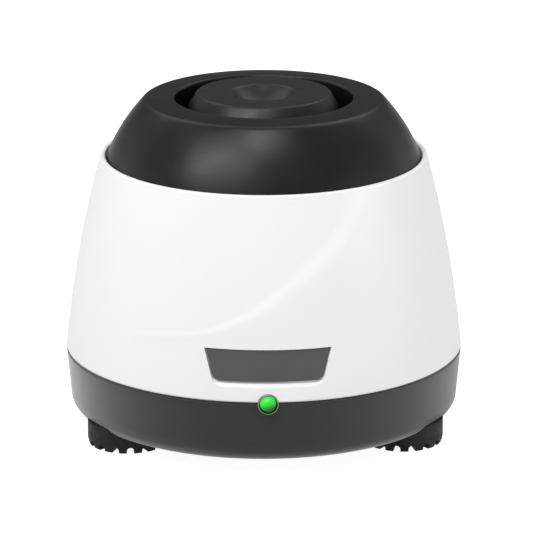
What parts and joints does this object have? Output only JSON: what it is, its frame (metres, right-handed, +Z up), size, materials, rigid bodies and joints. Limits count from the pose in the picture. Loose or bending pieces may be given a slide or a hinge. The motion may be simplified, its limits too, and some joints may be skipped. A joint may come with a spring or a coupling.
{
  "type": "vortex mixer",
  "caption": "Round touch-operated vortex mixer: dished rubber cup that orbits in the well of a black cap, white shell, weighted grey tray, notched rubber feet.",
  "frame": {"origin": "on the housing's axis, at the plane of the feet's lower faces, the table", "axes": "+Z up along the housing's axis, lamp and front plate towards -Y, power socket towards +Y"},
  "size_m": [0.1008, 0.1022, 0.0851],
  "materials": {
    "tray_plastic": "satin moulded, dark grey",
    "white_plastic": "glossy moulded, white",
    "black_plastic": "satin moulded, black",
    "plate_grey": "satin, bare",
    "bezel_metal": "polished",
    "green_lens": "clear moulded, green",
    "foot_rubber": "matt",
    "cup_rubber": "matt",
    "steel": "turned",
    "spring_steel": "bright",
    "screw_steel": "plated",
    "cast_iron": "as cast, face turned",
    "aluminium": "machined",
    "nylon": "natural",
    "brass": "turned",
    "magnet": "ferrite",
    "copper": "enamelled wire, as a block",
    "board_green": "solder mask",
    "component_black": "moulded",
    "plunger_red": "moulded",
    "lead_red": "insulated wire"
  },
  "bodies": {
    "housing": {"base_tray": "tray_plastic", "upper_shell": "white_plastic", "top_cap": "black_plastic", "name_plate": "plate_grey", "led_bezel": "bezel_metal", "led_lens": "green_lens", "led_leads": "steel", "foot_front_left": "foot_rubber", "foot_front_right": "foot_rubber", "foot_rear": "foot_rubber", "foot_screws": "screw_steel", "housing_screws": "screw_steel", "cap_screws": "screw_steel", "ballast_weight": "cast_iron", "guide_posts": "steel", "post_screws": "screw_steel", "press_springs": "spring_steel", "control_board": "board_green", "board_components": "component_black", "switch_body": "component_black", "jack_body": "black_plastic", "jack_contacts": "screw_steel", "power_leads": "lead_red"},
    "carriage": {"motor_plate": "aluminium", "guide_bushes": "nylon", "motor_screws": "screw_steel", "motor_can": "steel", "motor_end_cap": "black_plastic", "motor_terminals": "brass", "motor_magnets": "magnet"},
    "rotor": {"armature": "spring_steel", "armature_windings": "copper", "motor_shaft": "steel", "eccentric_hub": "steel", "hub_set_screw": "screw_steel", "counterweight": "brass", "bearing_inner_race": "steel", "bearing_screw": "screw_steel"},
    "head": {"bearing_balls": "steel", "bearing_outer_race": "steel", "head_carrier": "aluminium", "cup_pad": "cup_rubber"},
    "plunger": {"switch_plunger": "plunger_red"}
  },
  "joints": [
    {"name": "press", "type": "slide", "parent": "housing", "child": "carriage", "axis": [0, 0, 1], "range_m": [-0.001, 0], "stiffness_N_per_m": 1500, "springref_m": 0.004, "deforming": ["press_springs"]},
    {"name": "rotor_spin", "type": "hinge", "parent": "carriage", "child": "rotor", "pos_m": [0, 0, 0.06], "axis": [0, 0, 1], "continuous": true},
    {"name": "head_orbit", "type": "hinge", "parent": "rotor", "child": "head", "pos_m": [0, 0.002, 0.07], "axis": [0, 0, 1], "continuous": true},
    {"name": "switch_press", "type": "slide", "parent": "housing", "child": "plunger", "axis": [0, 0, 1], "range_m": [-0.001, 0]}
  ],
  "couplings": [
    {"joint": "head_orbit", "follows": "rotor_spin", "ratio": -1},
    {"joint": "switch_press", "follows": "press", "ratio": 1}
  ]
}
